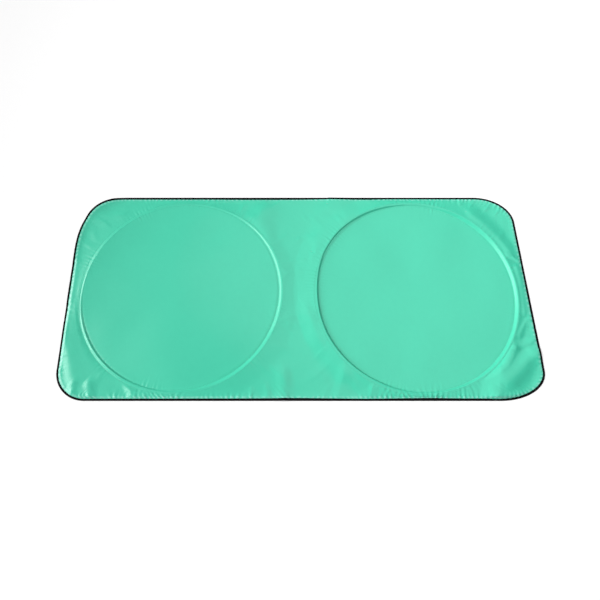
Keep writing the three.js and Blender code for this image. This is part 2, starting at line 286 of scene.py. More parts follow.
# Where the cloth is gathered along the binding: place, how far along it, and how strongly
GATHERS = [
    (350, -350, 95, 2.4), (-110, -350, 60, 1.3), (640, -345, 50, 1.6), (715, -300, 40, 1.0),
    (620, 340, 80, 1.2), (700, 300, 40, 1.2), (-662, -335, 40, 0.6), (-560, -350, 90, 0.7),
    (-250, -350, 250, 0.6), (500, -350, 120, 0.8), (30, -350, 160, 0.4), (740, 240, 40, 0.8),
]


def scattered_creases(seed, count):
    """Small creases of the slack cloth, most of them pointing away from a hoop."""
    chance = np.random.default_rng(seed)
    creases = []
    for _ in range(count):
        name = chance.choice(list(SIDES))
        turn = chance.uniform(0, 2 * math.pi)
        reach = HOOP_RADIUS + chance.uniform(20, 130)
        start = HOOP_CENTRE[name] + reach * np.array([math.cos(turn), math.sin(turn)])
        way = turn + chance.normal(0, 0.6)
        end = start + chance.uniform(15, 50) * np.array([math.cos(way), math.sin(way)])
        spreads = chance.uniform(5, 15, 2)
        creases.append((start, end, *spreads, chance.uniform(0.25, 1.0)))
    return creases


def fold_place(name, place):
    """Plan point at an angle round a hoop and a distance outside its casing."""
    angle, beyond = place
    reach = HOOP_RADIUS + CASING_HALF_WIDTH + beyond
    turn = math.radians(angle)
    return HOOP_CENTRE[name] + reach * np.array([math.cos(turn), math.sin(turn)])


def roll(points, start, end, left_spread, right_spread, tall, crisp=False):
    """A low ridge between two places that falls away differently on its two sides. A crisp one has
    nearly flat flanks, with a fold line on top and at the foot of each."""
    start, end = np.array(start, float), np.array(end, float)
    along = end - start
    away = points - start
    share = np.clip(away @ along / (along @ along), 0, 1)
    gap = np.linalg.norm(away - share[:, None] * along, axis=1)
    on_left = along[0] * away[:, 1] - along[1] * away[:, 0] > 0
    gap /= np.where(on_left, left_spread, right_spread)
    if crisp:
        return tall * np.maximum(1 - gap / 1.6, 0) ** 1.1
    return tall * np.exp(-(gap**2))


def rim_place(points):
    """Distance inside the rim, and turn round it from 0 to two pi, of the nearest place on it."""
    distance, turn = np.empty(len(points)), np.empty(len(points))
    for i in range(0, len(points), 4000):
        part = points[i : i + 4000]
        gaps = ((part[:, None] - LOOP_POINTS[None]) ** 2).sum(2)
        nearest = gaps.argmin(1)
        distance[i : i + 4000] = ((part - LOOP_POINTS[nearest]) * LOOP_INWARD[nearest]).sum(1)
        turn[i : i + 4000] = LOOP_RUN[nearest] / LOOP_LENGTH * 2 * math.pi
    return distance, turn


class Swell:
    """Broad, low waves of the taut cloth inside a hoop, in millimetres."""

    def __init__(self, seed, tall=0.42, terms=9):
        chance = np.random.default_rng(seed)
        lengths = chance.uniform(95, 260, terms)
        ways = chance.uniform(0, 2 * math.pi, terms)
        self.pulls = 2 * math.pi / lengths * np.array([np.cos(ways), np.sin(ways)])
        self.phases = chance.uniform(0, 2 * math.pi, terms)
        self.heights = tall * lengths / 180

    def __call__(self, away):
        heights = np.cos(away @ self.pulls + self.phases) @ self.heights
        return heights * math.sqrt(2 / len(self.phases)) + self.heights.mean()


DRUM_SWELL = {"left": Swell(51), "right": Swell(52)}
MIDDLE = np.array([MIDDLE_X, 0.0])
CREASES = [(MIDDLE + start, MIDDLE + end, *form) for start, end, *form in SEEN_CREASES]
CREASES += scattered_creases(61, 110)
SEAM_PUCKERS = {"left": Unevenness(11, 110, 220), "right": Unevenness(12, 110, 220)}
SEAM_PULL = {"left": Unevenness(21, 3, 14), "right": Unevenness(22, 3, 14)}
RIM_PUCKERS = Unevenness(31, 200, 350)
RIM_PULL = Unevenness(32, 5, 40)
RIM_LEAN = Unevenness(33, 6, 24)


def rim_puckers(inside, rim_turn):
    """Uneven waves along the rim, which lean to one side or the other further in."""
    lean = 0.55 * RIM_LEAN(rim_turn) * (inside - 9) * 2 * math.pi / LOOP_LENGTH
    return RIM_PUCKERS(rim_turn + lean)


def beside_hoop(name, offset, turn, towards_rim):
    """Height that a hoop gives the cloth over and beside its channel. offset is the distance outwards
    from the wire."""
    table = np.array(BESIDE[name])
    degrees = np.degrees(turn) % 360
    inner, outer, reach, rise_from, rise_to, stray, steep, drawn = (
        np.interp(degrees, table[:, 0], table[:, i], period=360) for i in range(1, table.shape[1])
    )
    ridge = np.interp(np.abs(offset - stray) * steep, RIDGE[:, 0], RIDGE[:, 1], right=0)
    over_wire = np.interp(np.abs(offset), OVER_WIRE[:, 0], OVER_WIRE[:, 1], right=0)
    ridge = np.maximum(ridge, over_wire)
    within = inner * smoothstep(-offset, -1.5, 4)
    within *= (1 - np.clip((-offset - 8) / INSIDE_REACH[name], 0, 1)) ** 1.6
    without = outer * smoothstep(offset, rise_from, rise_to)
    without *= 1 - np.clip((offset - np.maximum(rise_to, 8)) / reach, 0, 1) ** 0.8
    beside = within + without * towards_rim
    groove = np.exp(-(((np.abs(offset) - SEAM_OFFSET) / GROOVE_WIDTH) ** 2))
    depth = np.where(offset < 0, drawn, OUTER_GROOVE) * groove
    return (ridge**4 + np.maximum(beside, 0) ** 4) ** 0.25 - depth


def inside_hoop(name, away, offset):
    """Broad forms of the taut cloth inside a hoop."""
    swell = DRUM_SWELL[name](away)
    for x, y, radius, tall in MOUNDS[name]:
        swell += tall * np.exp(-((away - (x, y)) ** 2).sum(1) / radius**2)
    return swell * smoothstep(-offset, 10, 60)


def seam_puckers(name, offset, turn, inside):
    """Puckers along and beside the two seams of a channel."""
    pull = 0.5 + 0.5 * np.clip(SEAM_PULL[name](turn), -0.8, 1.6)
    near = np.exp(-(((np.abs(offset) - SEAM_OFFSET) / 4.5) ** 2)) * SEAM_PUCKER_HEIGHT
    past = smoothstep(np.abs(offset), 7, 10)
    past *= np.exp(-(np.abs(offset) - CASING_HALF_WIDTH) / SEAM_PUCKER_REACH)
    near += past * np.where(offset < 0, INNER_PUCKER_HEIGHT, OUTER_PUCKER_HEIGHT[name])
    free = 1 - HELD_BY_RIM[name] * (1 - smoothstep(inside, 14, 40))
    return pull * near * free * SEAM_PUCKERS[name](turn)


def rim_gathers(points, inside, rim_turn):
    """Puckers beside the binding."""
    gather = 0.3 + 0.2 * np.clip(RIM_PULL(rim_turn), -1, 2)
    for x, y, spread, strength in GATHERS:
        gap = np.linalg.norm(points - (x, y), axis=1)
        gather += 0.6 * strength * np.exp(-((gap / spread) ** 2))
    reach = 8.0 + 7.0 * np.clip(gather - 0.5, 0, 1)
    near_rim = np.exp(-np.maximum(inside - 9, 0) / reach) * smoothstep(inside, 4, 10)
    return near_rim * gather * rim_puckers(inside, rim_turn)


def cloth_height(points, fine=True):
    """Height of the green face at plan points, without its puckers where fine is False."""
    inside, rim_turn = rim_place(points)
    towards_rim = smoothstep(inside, 7, 17)
    height = np.full(len(points), CLOTH_TOP)
    beyond = np.full(len(points), 1e3)
    puckers = np.zeros(len(points))
    for name, centre in HOOP_CENTRE.items():
        away = points - centre
        offset = np.linalg.norm(away, axis=1) - HOOP_RADIUS
        turn = np.arctan2(away[:, 1], away[:, 0])
        height += beside_hoop(name, offset, turn, towards_rim)
        height += inside_hoop(name, away, offset)
        beyond = np.minimum(beyond, offset - CASING_HALF_WIDTH)
        puckers += seam_puckers(name, offset, turn, inside)
    slack = smoothstep(beyond, 0, SLACK_REACH)
    for name, start, end, *form in ROLLS:
        height += slack * roll(points, fold_place(name, start), fold_place(name, end), *form)
    calm = smoothstep(beyond, -2, 8) * smoothstep(inside, 5, 12)
    for start, end, *form in CREASES:
        height += calm * roll(points, start, end, *form, crisp=True)
    bead, bead_place, bead_width = RIM_BEAD
    height += bead * np.exp(-(((inside - bead_place) / bead_width) ** 2))
    if fine:
        puckers += rim_gathers(points, inside, rim_turn)
        height += np.maximum(puckers, DEEPEST_PUCKER)
    return np.maximum(height, LEAST_HEIGHT)


def painted_rim_highlight(points):
    """Painted highlight beside the binding: how much paler the green face is painted there, from 0 to 1,
    brightest on the rises of the puckers.
    """
    inside, rim_turn = rim_place(points)
    line = np.exp(-(((inside - 9.0) / 2.2) ** 2))
    return line * np.clip(0.5 + 0.45 * rim_puckers(inside, rim_turn), 0.1, 1.0)


# Meshes


def build(name, points, faces, finishes, kinds=None, uv=None):
    """A smooth-shaded piece from points in millimetres, faces, and each face's finish."""
    mesh = bpy.data.meshes.new(name)
    mesh.from_pydata((np.asarray(points) * MM).tolist(), [], list(faces))
    for finish in finishes:
        mesh.materials.append(finish)
    if kinds is not None:
        mesh.polygons.foreach_set("material_index", np.asarray(kinds, np.int32))
    if uv is not None:
        corners = np.empty(len(mesh.loops), np.int32)
        mesh.loops.foreach_get("vertex_index", corners)
        layer = mesh.uv_layers.new(name="run")
        layer.uv.foreach_set("vector", np.asarray(uv, np.float32)[corners].ravel())
    mesh.polygons.foreach_set("use_smooth", np.ones(len(mesh.polygons), bool))
    mesh.validate()
    mesh.update()
    piece = bpy.data.objects.new(name, mesh)
    bpy.context.scene.collection.objects.link(piece)
    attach(piece, "root")
    return piece


# Rings of mesh round a hoop for the green face and for the back, by their distance from the wire, and
# rows from there towards the rim
FINE_RINGS = [
    -265, -205, -150, -105, -70, -44, -26, -16, -10.5, -8.3, -7.2, -6.1, -4.6, -3.4, -2.4, -1.3, 0,
    1.3, 2.4, 3.4, 4.6, 6.1, 7.2, 8.3, 10.2,
]
PLAIN_RINGS = [-205, -105, -44, -18, -10.5, -8.3, -6.1, -4.6, -2.4, 0, 2.4, 4.6, 6.1, 8.3, 10.2]
SKIRT_ROWS = 9
# Rows beside the binding, by their distance from it, and rows under it, by their share of its width
LANES = [12.0, 6.5, 2.6, 0.0]
RIM_SHARES = [0.6, 0.0]


def half_cloth(name, rings, stride):
    """Plan points and faces of one half: spokes from the hoop's middle, and the rim. It takes each
    stride-th spoke of the finest mesh."""
    side, centre = SIDES[name], HOOP_CENTRE[name]
    turn = (np.arange(0, SPOKES, stride) + MIDDLE_STEPS / 2) * 2 * math.pi / SPOKES
    angle = turn if side < 0 else math.pi - turn
    ways = np.stack([np.cos(angle), np.sin(angle)], 1)
    round_hoop = centre + ways[:, None] * (HOOP_RADIUS + np.array(rings))[None, :, None]
    rim, inward = (part[::stride] for part in RIM[name])
    lowest = rim[-1] + inward[-1] * BINDING_WIDTH
    highest = rim[0] + inward[0] * BINDING_WIDTH
    share = np.arange(stride, MIDDLE_STEPS, stride)[:, None] / MIDDLE_STEPS
    goal = np.concatenate([rim + inward * BINDING_WIDTH, lowest + (highest - lowest) * share])
    last = round_hoop[:, -1]
    room = np.linalg.norm(last - goal, axis=1)[:, None]
    back = (last - goal) / room
    # The rows beside the binding follow it, except near the line between the halves, and lie closer
    # together where the hoop leaves them less room
    from_middle = smoothstep(np.abs(rim[:, :1] - MIDDLE_X), 10, 120)
    mixed = from_middle * inward + (1 - from_middle) * back[: len(rim)]
    back[: len(rim)] = mixed / np.linalg.norm(mixed, axis=1, keepdims=True)
    clear = np.linalg.norm(goal - centre, axis=1)[:, None] - HOOP_RADIUS - rings[-1]
    lane = np.array(LANES)[None] * np.minimum(1, 0.75 * clear / LANES[0])
    lanes = goal[:, None] + back[:, None] * lane[..., None]
    skirt = np.arange(1, SKIRT_ROWS + 1)[None, :, None] / (SKIRT_ROWS + 1)
    outwards = last[:, None] + (lanes[:, 0] - last)[:, None] * skirt
    grid = np.concatenate([round_hoop, outwards, lanes], 1)
    edge = rim[:, None] + inward[:, None] * BINDING_WIDTH * np.array(RIM_SHARES)[None, :, None]
    spokes, rows, rim_count = len(grid), grid.shape[1], len(rim) - 1
    points = np.concatenate([[centre], grid.reshape(-1, 2), edge.reshape(-1, 2)])
    first_edge = 1 + spokes * rows
    faces = []
    for k in range(spokes):
        here, there = 1 + k * rows, 1 + (k + 1) % spokes * rows
        faces.append((0, here, there))
        spoke, following = [*range(here, here + rows)], [*range(there, there + rows)]
        if k < rim_count:
            edge_here = first_edge + k * len(RIM_SHARES)
            edge_there = edge_here + len(RIM_SHARES)
            spoke += range(edge_here, edge_here + len(RIM_SHARES))
            following += range(edge_there, edge_there + len(RIM_SHARES))
        faces.extend(zip(spoke, spoke[1:], following[1:], following))
    rim_row = [first_edge + (k + 1) * len(RIM_SHARES) - 1 for k in range(rim_count + 1)]
    if side > 0:
        faces = [face[::-1] for face in faces]
    return points, faces, rim_row


def whole_cloth(rings, stride=1):
    """Plan points and faces of the whole sheet, its two halves joined, and its rim on each half."""
    left, left_faces, left_rim = half_cloth("left", rings, stride)
    right, right_faces, right_rim = half_cloth("right", rings, stride)
    both = np.concatenate([left, right])
    # The small shift keeps equal places from being rounded apart
    _, first, index = np.unique(
        np.round(both + 0.000137, 3), axis=0, return_index=True, return_inverse=True
    )
    index = index.ravel().tolist()
    shift = len(left)
    faces = [tuple(index[i] for i in face) for face in left_faces]
    faces += [tuple(index[i + shift] for i in face) for face in right_faces]
    rims = [[index[i] for i in left_rim], [index[i + shift] for i in right_rim]]
    return both[first], faces, rims


# Shader maths and finishes


class Signal:
    """A node's output that reads as a number in shader maths."""

    def __init__(self, finish, socket):
        self.finish, self.socket = finish, socket

    def maths(self, operation, *values):
        return self.finish.node("ShaderNodeMath", {"operation": operation}, values)

    def __add__(self, other):
        return self.maths("ADD", self, other)

    def __sub__(self, other):
        return self.maths("SUBTRACT", self, other)

    def __rsub__(self, other):
        return self.maths("SUBTRACT", other, self)

    def __mul__(self, other):
        return self.maths("MULTIPLY", self, other)

    def __truediv__(self, other):
        return self.maths("DIVIDE", self, other)

    def __pow__(self, other):
        return self.maths("POWER", self, other)

    __radd__, __rmul__ = __add__, __mul__

    def sine(self):
        return self.maths("SINE", self)

    def size(self):
        return self.maths("ABSOLUTE", self)

    def within(self):
        return self.maths("MINIMUM", self.maths("MAXIMUM", self, 0.0), 1.0)


class Finish:
    """A node-based material with one shader."""

    def __init__(self, name, **constants):
        self.material = bpy.data.materials.new(name)
        self.material.use_nodes = True
        self.tree = self.material.node_tree
        self.shader = self.tree.nodes["Principled BSDF"]
        for socket, value in constants.items():
            self.shader.inputs[socket.replace("_", " ")].default_value = value

    def node(self, kind, settings=None, inputs=(), output=0):
        """Adds a node with its settings and inputs, and gives one of its outputs."""
        node = self.tree.nodes.new(kind)
        for name, value in (settings or {}).items():
            setattr(node, name, value)
        pairs = inputs.items() if isinstance(inputs, dict) else enumerate(inputs)
        for key, value in pairs:
            if isinstance(value, Signal):
                self.tree.links.new(value.socket, node.inputs[key])
            else:
                node.inputs[key].default_value = value
        return Signal(self, node.outputs[output])

    def feed(self, socket, signal):
        self.tree.links.new(signal.socket, self.shader.inputs[socket])

    def place(self):
        """Object coordinates, which are metres in the frame."""
        return self.node("ShaderNodeTexCoord", output="Object")

    def axes(self, place):
        split = self.node("ShaderNodeSeparateXYZ", inputs=(place,))
        return [Signal(self, split.socket.node.outputs[i]) for i in range(3)]

    def run(self):
        """Millimetres along and across a tape or thread."""
        spot = self.node("ShaderNodeUVMap", {"uv_map": "run"})
        return self.axes(spot)[:2]

    def cloud(self, place, scale, detail=2.0, roughness=0.5):
        inputs = {"Vector": place, "Scale": scale, "Detail": detail, "Roughness": roughness}
        return self.node("ShaderNodeTexNoise", None, inputs, "Fac")

    def blend(self, share, low, high):
        """A colour between two others."""
        low, high = ((*end, 1) if isinstance(end, tuple) else end for end in (low, high))
        # A mix node has one set of sockets for each kind of value, and these are the colours'
        inputs = {0: share, 6: low, 7: high}
        return self.node("ShaderNodeMix", {"data_type": "RGBA"}, inputs, 2)

    def relief(self, height, depth):
        """Bump of a height from 0 to 1 that is depth metres deep."""
        inputs = {"Height": height, "Distance": depth, "Strength": 1.0}
        self.feed("Normal", self.node("ShaderNodeBump", None, inputs))


# Distance between the yarns of the cloth, in metres like the coordinates that a finish works in
YARN_PITCH = 0.00042


def weave(finish, place):
    """Plain weave of the cloth, from 0 in its gaps to 1 on its yarns."""
    x, y, _ = finish.axes(place)
    turn = math.pi / YARN_PITCH
    return ((x * turn).sine() * (y * turn).sine()).size() ** 0.5


def waves(run, pitch):
    """Even waves from 0 to 1, a pitch apart."""
    return 0.5 + 0.5 * (run * (2 * math.pi / pitch)).sine()


def green_cloth():
    finish = Finish(
        "green_cloth", Metallic=0.0, Specular_IOR_Level=0.3, Coat_Weight=1.0, Coat_Roughness=0.28
    )
    place = finish.place()
    yarns = weave(finish, place)
    broad = finish.cloud(place, 3.0, 3.0)
    small = finish.cloud(place, 60.0, 3.0, 0.6)
    shade = (broad * 0.5 + small * 0.3 + yarns * 0.2).within()
    fresh = finish.blend(shade, (0.044, 0.640, 0.416), (0.066, 0.740, 0.484))
    # Painted highlight: the green face is painted paler in a dotted line just inside the binding,
    # brightest where the puckers rise
    rim_highlight_share = finish.node("ShaderNodeAttribute", {"attribute_name": "painted_rim_highlight"}, output="Fac")
    finish.feed("Base Color", finish.blend(rim_highlight_share, fresh, (0.36, 0.92, 0.76)))
    finish.feed("Roughness", 0.5 + small * 0.14)
    finish.relief(yarns * 0.35 + finish.cloud(place, 220.0, 2.0) * 0.65, 0.00012)
    return finish.material


def silver_coat():
    finish = Finish("silver_coat", Specular_IOR_Level=0.5, Coat_Roughness=0.3)
    place = finish.place()
    yarns = weave(finish, place)
    crinkle = finish.cloud(place, 90.0, 4.0, 0.65)
    broad = finish.cloud(place, 8.0, 2.0)
    shade = (crinkle * 0.6 + broad * 0.4).within()
    finish.feed("Base Color", finish.blend(shade, (0.42, 0.43, 0.44), (0.62, 0.63, 0.64)))
    finish.feed("Metallic", 0.55 + broad * 0.2)
    finish.feed("Roughness", 0.3 + crinkle * 0.2)
    finish.relief(yarns * 0.3 + crinkle * 0.7, 0.00025)
    return finish.material


def silver_tape():
    finish = Finish("silver_tape", Specular_IOR_Level=0.4, Sheen_Weight=0.1)
    along, across = finish.run()
    ribs, yarns = waves(along, 0.9), waves(across, 0.6)
    worn = finish.cloud(finish.place(), 120.0, 3.0)
    shade = (ribs * 0.3 + worn * 0.7).within()
    finish.feed("Base Color", finish.blend(shade, (0.36, 0.37, 0.38), (0.55, 0.56, 0.57)))
    finish.feed("Metallic", 0.2 + worn * 0.2)
    finish.feed("Roughness", 0.5 + worn * 0.2)
    finish.relief(ribs * 0.6 + yarns * 0.4, 0.0001)
    return finish.material


def black_binding():
    """Ribbed tape, a little lighter on the half behind its fold, 7 mm across from its first edge."""
    finish = Finish("black_binding", Specular_IOR_Level=0.06)
    along, across = finish.run()
    ribs = waves(along, 0.8)
    lint = finish.cloud(finish.place(), 300.0, 3.0)
    behind = ((across - 7.0) * 2.0).within()
    shade = (ribs * 0.4 + lint * 0.4 + behind * 0.2).within()
    finish.feed("Base Color", finish.blend(shade, (0.0015, 0.0015, 0.002), (0.005, 0.005, 0.0055)))
    finish.feed("Roughness", 0.7 + lint * 0.2)
    finish.relief(ribs * 0.8 + lint * 0.2, 0.00015)
    return finish.material


def thread(name, dark, light):
    finish = Finish(name, Specular_IOR_Level=0.4, Sheen_Weight=0.2)
    along, across = finish.run()
    twist = 0.5 + 0.5 * (along * 9.0 + across * 3.0).sine()
    fuzz = finish.cloud(finish.place(), 900.0, 2.0)
    finish.feed("Base Color", finish.blend((twist * 0.6 + fuzz * 0.4).within(), dark, light))
    finish.feed("Roughness", 0.5 + fuzz * 0.2)
    finish.relief(twist, 0.00008)
    return finish.material


def drawn_steel():
    finish = Finish("spring_steel", Specular_IOR_Level=0.5)
    place = finish.place()
    drawn = finish.cloud(place, 400.0, 4.0, 0.7)
    blued = finish.cloud(place, 14.0, 2.0)
    finish.feed("Base Color", finish.blend(blued, (0.26, 0.27, 0.29), (0.40, 0.41, 0.42)))
    finish.feed("Metallic", 0.92 + drawn * 0.08)
    finish.feed("Roughness", 0.25 + drawn * 0.2)
    finish.relief(drawn, 0.00003)
    return finish.material


def crimped_metal():
    finish = Finish("crimped_aluminium", Specular_IOR_Level=0.5)
    place = finish.place()
    x = finish.axes(place)[0]
    bites = waves(x, 0.004) ** 4.0
    scuffs = finish.cloud(place, 500.0, 3.0)
    finish.feed("Base Color", finish.blend(scuffs, (0.40, 0.40, 0.41), (0.58, 0.58, 0.59)))
    finish.feed("Metallic", 0.9 + scuffs * 0.1)
    finish.feed("Roughness", 0.3 + scuffs * 0.2)
    finish.relief(bites * -0.7 + scuffs * 0.3, 0.0002)
    return finish.material


GREEN_CLOTH, SILVER_COAT = green_cloth(), silver_coat()
SILVER_TAPE, BLACK_BINDING = silver_tape(), black_binding()
GREEN_THREAD = thread("green_thread", (0.026, 0.34, 0.22), (0.05, 0.48, 0.33))
BLACK_THREAD = thread("black_thread", (0.004, 0.004, 0.004), (0.02, 0.02, 0.02))

# The panel

# The silver back lies this much further down than the cloth is thick, clear of the puckers, and more
# away from the wires, but not below the least height
BACK_ROOM, BACK_SINK = 0.45, 1.5
LOWEST_BACK = CLOTH_TOP - CLOTH_THICKNESS - 0.25


def make_panel():
    """The sheet, with its green face in full and its silver back on every second spoke."""
    stride = 2
    plan, faces, rims = whole_cloth(FINE_RINGS)
    back_plan, back_faces, back_rims = whole_cloth(PLAIN_RINGS, stride)
    face = np.column_stack([plan, cloth_height(plan)])
    to_wire = [np.linalg.norm(back_plan - centre, axis=1) for centre in HOOP_CENTRE.values()]
    flatter = smoothstep(HOOP_RADIUS - np.min(to_wire, axis=0), 12, 40)
    back_height = cloth_height(back_plan, fine=False) - CLOTH_THICKNESS - BACK_ROOM
    back_height -= BACK_SINK * flatter
    back = np.column_stack([back_plan, np.maximum(back_height, LOWEST_BACK)])
    shift = len(plan)
    back_faces = [tuple(i + shift for i in corner[::-1]) for corner in back_faces]
    edge = []
    for rim, back_rim, side in zip(rims, back_rims, SIDES.values()):
        strip = []
        for k, (a, b) in enumerate(zip(back_rim, back_rim[1:])):
            one, two, three = rim[stride * k : stride * k + 3]
            strip += [(one, a + shift, two), (two, a + shift, b + shift), (two, b + shift, three)]
        edge += strip if side < 0 else [corner[::-1] for corner in strip]
    kinds = [0] * len(faces) + [1] * (len(back_faces) + len(edge))
    piece = build(
        "panel_cloth", np.concatenate([face, back]), faces + back_faces + edge,
        [GREEN_CLOTH, SILVER_COAT], kinds,
    )
    # The painted highlight along the binding, kept for the green face's colour; the silver back gets
    # none
    highlight_values = piece.data.attributes.new("painted_rim_highlight", "FLOAT", "POINT")
    highlight_values.data.foreach_set("value", np.append(painted_rim_highlight(plan), np.zeros(len(back_plan))))
    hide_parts("panel")
    return piece


# Binding and casing tapes

# Binding round the rim: distance inside it, and height above or below the cloth's face there. It starts
# at the cut edge on the green face and ends at the one on the back.
BINDING_SECTION = [
    (6.2, 0.12), (6.0, 0.5), (5.5, 0.66), (4.6, 0.52), (3.6, 0.7), (2.2, 0.78), (0.8, 0.74),
    (-0.2, 0.55), (-0.7, 0.1), (-0.8, -0.3), (-0.65, -0.75), (-0.1, -1.02), (0.8, -1.14),
    (2.2, -1.16), (3.6, -1.12), (4.6, -0.98), (5.5, -1.1), (6.0, -1.0), (6.2, -0.56),
]
BINDING_WAVES = Unevenness(41, 240, 420)
# Where its seam runs, and how far above and below the cloth's face
BINDING_SEAM, BINDING_SEAM_TOP, BINDING_SEAM_BACK = 4.6, 0.56, -0.98

# How wide the binding shows, at places near it
BINDING_SHOWS = [
    (-600, 350, 7.4), (-300, 350, 7.6), (-150, 350, 9.0), (0, 350, 8.0), (95, 350, 6.2),
    (220, 350, 8.0), (330, 350, 6.2), (560, 350, 6.6), (740, 200, 6.2), (757, -100, 6.4),
    (700, -320, 6.4), (500, -350, 6.6), (400, -350, 7.8), (200, -350, 5.6), (0, -350, 7.8),
    (-150, -350, 6.6), (-500, -350, 6.0), (-700, -300, 5.6), (-745, -100, 5.2), (-740, 150, 5.2),
    (-700, 300, 5.6),
]


def make_binding():
    """The folded tape, whose edge on the green face lies nearer to the rim or further from it."""
    turn = LOOP_RUN / LOOP_LENGTH * 2 * math.pi
    wave = BINDING_WAVES(turn)
    near = [((LOOP_POINTS - (x, y)) ** 2).sum(1).argmin() for x, y, _ in BINDING_SHOWS]
    widths = [width for _, _, width in BINDING_SHOWS]
    order = np.argsort(turn[near])
    shows = np.interp(turn, turn[near][order], np.array(widths)[order], period=2 * math.pi)
    stretch = (shows / BINDING_SECTION[0][0])[:, None]
    rows, run = [], []
    across = 0.0
    for i, (inset, height) in enumerate(BINDING_SECTION):
        on_green_edge = inset > BINDING_SEAM and height > 0
        reach = inset * stretch if on_green_edge else inset
        place = LOOP_POINTS + LOOP_INWARD * reach
        face = cloth_height(LOOP_POINTS + LOOP_INWARD * np.clip(reach, 0.0, 9.0))
        ripple = 0.07 * wave * (height > 0)
        rows.append(np.column_stack([place, np.maximum(face + height + ripple, 0.02)]))
        if i:
            across += math.dist(BINDING_SECTION[i - 1], (inset, height))
        run.append(np.column_stack([LOOP_RUN, np.full(len(LOOP_RUN), across)]))
    return closed_loop("bound_edge", rows, run, BLACK_BINDING)


def closed_loop(name, rows, run, finish):
    """A closed section carried round a closed path: rows of points, one for each of its corners, and
    their places along and across the tape."""
    count, sections = len(rows[0]), len(rows)
    points = np.concatenate(rows)
    uv = np.concatenate(run)
    faces = []
    for i in range(sections):
        j = (i + 1) % sections
        for k in range(count):
            after = (k + 1) % count
            faces.append((i * count + k, j * count + k, j * count + after, i * count + after))
    return build(name, points, faces, [finish], uv=uv)


# Section of a casing tape: distance outwards from the wire, height above the floor
TAPE_SECTION = [
    (-9.0, 0.28), (-8.8, 0.08), (-8.2, 0.04), (-7.2, 0.2), (-6.2, 0.05), (-3.0, 0.02), (0.0, 0.02),
    (3.0, 0.02), (6.2, 0.05), (7.2, 0.2), (8.2, 0.04), (8.8, 0.08), (9.0, 0.28), (8.8, 0.46),
    (7.2, 0.44), (3.0, 0.5), (-3.0, 0.5), (-7.2, 0.44), (-8.8, 0.46),
]
TAPE_STEPS = 360


def make_casing_tape(name):
    """The flat ring of tape that closes a hoop's channel from below."""
    turn = np.arange(TAPE_STEPS) * 2 * math.pi / TAPE_STEPS
    ways = np.column_stack([np.cos(turn), np.sin(turn)])
    rows, run = [], []
    for offset, height in TAPE_SECTION:
        place = HOOP_CENTRE[name] + ways * (HOOP_RADIUS + offset)
        rows.append(np.column_stack([place, np.full(len(turn), height)]))
        run.append(np.column_stack([turn * HOOP_RADIUS, np.full(len(turn), offset)]))
    piece = closed_loop(f"channel_tape_{name}", rows, run, SILVER_TAPE)
    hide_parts(f"casing_tape_{name}")
    return piece


# Stitches

# Lockstitches: distance from one to the next, half their length, and the thread's radius and sides
STITCH_PITCH, HALF_STITCH = 4.0, 1.65
THREAD_RADIUS, THREAD_SIDES = 0.22, 6
# A stitch dives into the cloth at both ends: share of its half length, height in thread radii
STITCH_FORM = np.array([(-1.0, -1.5), (-0.7, -0.2), (0.0, 0.55), (0.7, -0.2), (1.0, -1.5)])
# Height above the floor of the stitches under a casing tape, and the least height of those under the
# binding
LOW_STITCH_HEIGHT = 0.36


def make_stitches(name, path, length, finish, surfaces):
    """Lockstitches along a closed path. path turns runs into plan points, and surfaces gives the
    height that a stitch lies on, and 1 or -1 for the side it is seen from."""
    count = int(round(length / STITCH_PITCH))
    around = np.arange(THREAD_SIDES) * 2 * math.pi / THREAD_SIDES
    middles = np.arange(count) * length / count
    run = (middles[:, None] + STITCH_FORM[:, 0] * HALF_STITCH).ravel()
    plan = path(run)
    ahead = path(run + 0.2) - plan
    ahead /= np.linalg.norm(ahead, axis=1, keepdims=True)
    beside = np.column_stack([-ahead[:, 1], ahead[:, 0]])
    dive = np.tile(STITCH_FORM[:, 1] * THREAD_RADIUS, count)
    points, faces, uv = [], [], []
    for height_at, facing in surfaces:
        level = height_at(plan) + facing * dive
        for turn in around:
            ring = plan + beside * THREAD_RADIUS * math.cos(turn)
            points.append(np.column_stack([ring, level + THREAD_RADIUS * math.sin(turn)]))
            uv.append(np.column_stack([run, np.full(len(level), turn)]))
    spans = len(STITCH_FORM)
    for layer in range(len(surfaces)):
        for stitch in range(count):
            ends = [
                (layer * THREAD_SIDES + side) * count * spans + stitch * spans
                for side in range(THREAD_SIDES)
            ]
            for a, b in zip(ends, ends[1:] + ends[:1]):
                faces.extend((a + j, b + j, b + j + 1, a + j + 1) for j in range(spans - 1))
            faces.append(tuple(ends[::-1]))
            faces.append(tuple(end + spans - 1 for end in ends))
    return build(name, np.concatenate(points), faces, [finish], uv=np.concatenate(uv))


def ring_path(name, offset):
    """The circle a given distance outwards from a wire, and its length."""
    radius = HOOP_RADIUS + offset

    def path(run):
        turn = run / radius
        return HOOP_CENTRE[name] + np.column_stack([np.cos(turn), np.sin(turn)]) * radius

    return path, 2 * math.pi * radius


def rim_path(inset):
    """The line a given distance inside the rim, and its length."""
    line = LOOP_POINTS + LOOP_INWARD * inset
    step = np.linalg.norm(np.roll(line, -1, 0) - line, axis=1)
    length = step.sum()
    runs = np.concatenate([[0], np.cumsum(step)])
    closed = np.concatenate([line, line[:1]])

    def path(run):
        run = np.mod(run, length)
        return np.column_stack([np.interp(run, runs, closed[:, i]) for i in range(2)])

    return path, length


def channel_stitches(hoop, place, outward):
    """One of the two seams of a channel, on the green face and on the tape's underside."""
    path, length = ring_path(hoop, outward * SEAM_OFFSET)
    surfaces = [(cloth_height, 1), (lambda plan: np.full(len(plan), LOW_STITCH_HEIGHT), -1)]
    piece = make_stitches(f"{place}_stitches_{hoop}", path, length, GREEN_THREAD, surfaces)
    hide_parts(f"{place}_seam_{hoop}")
    return piece


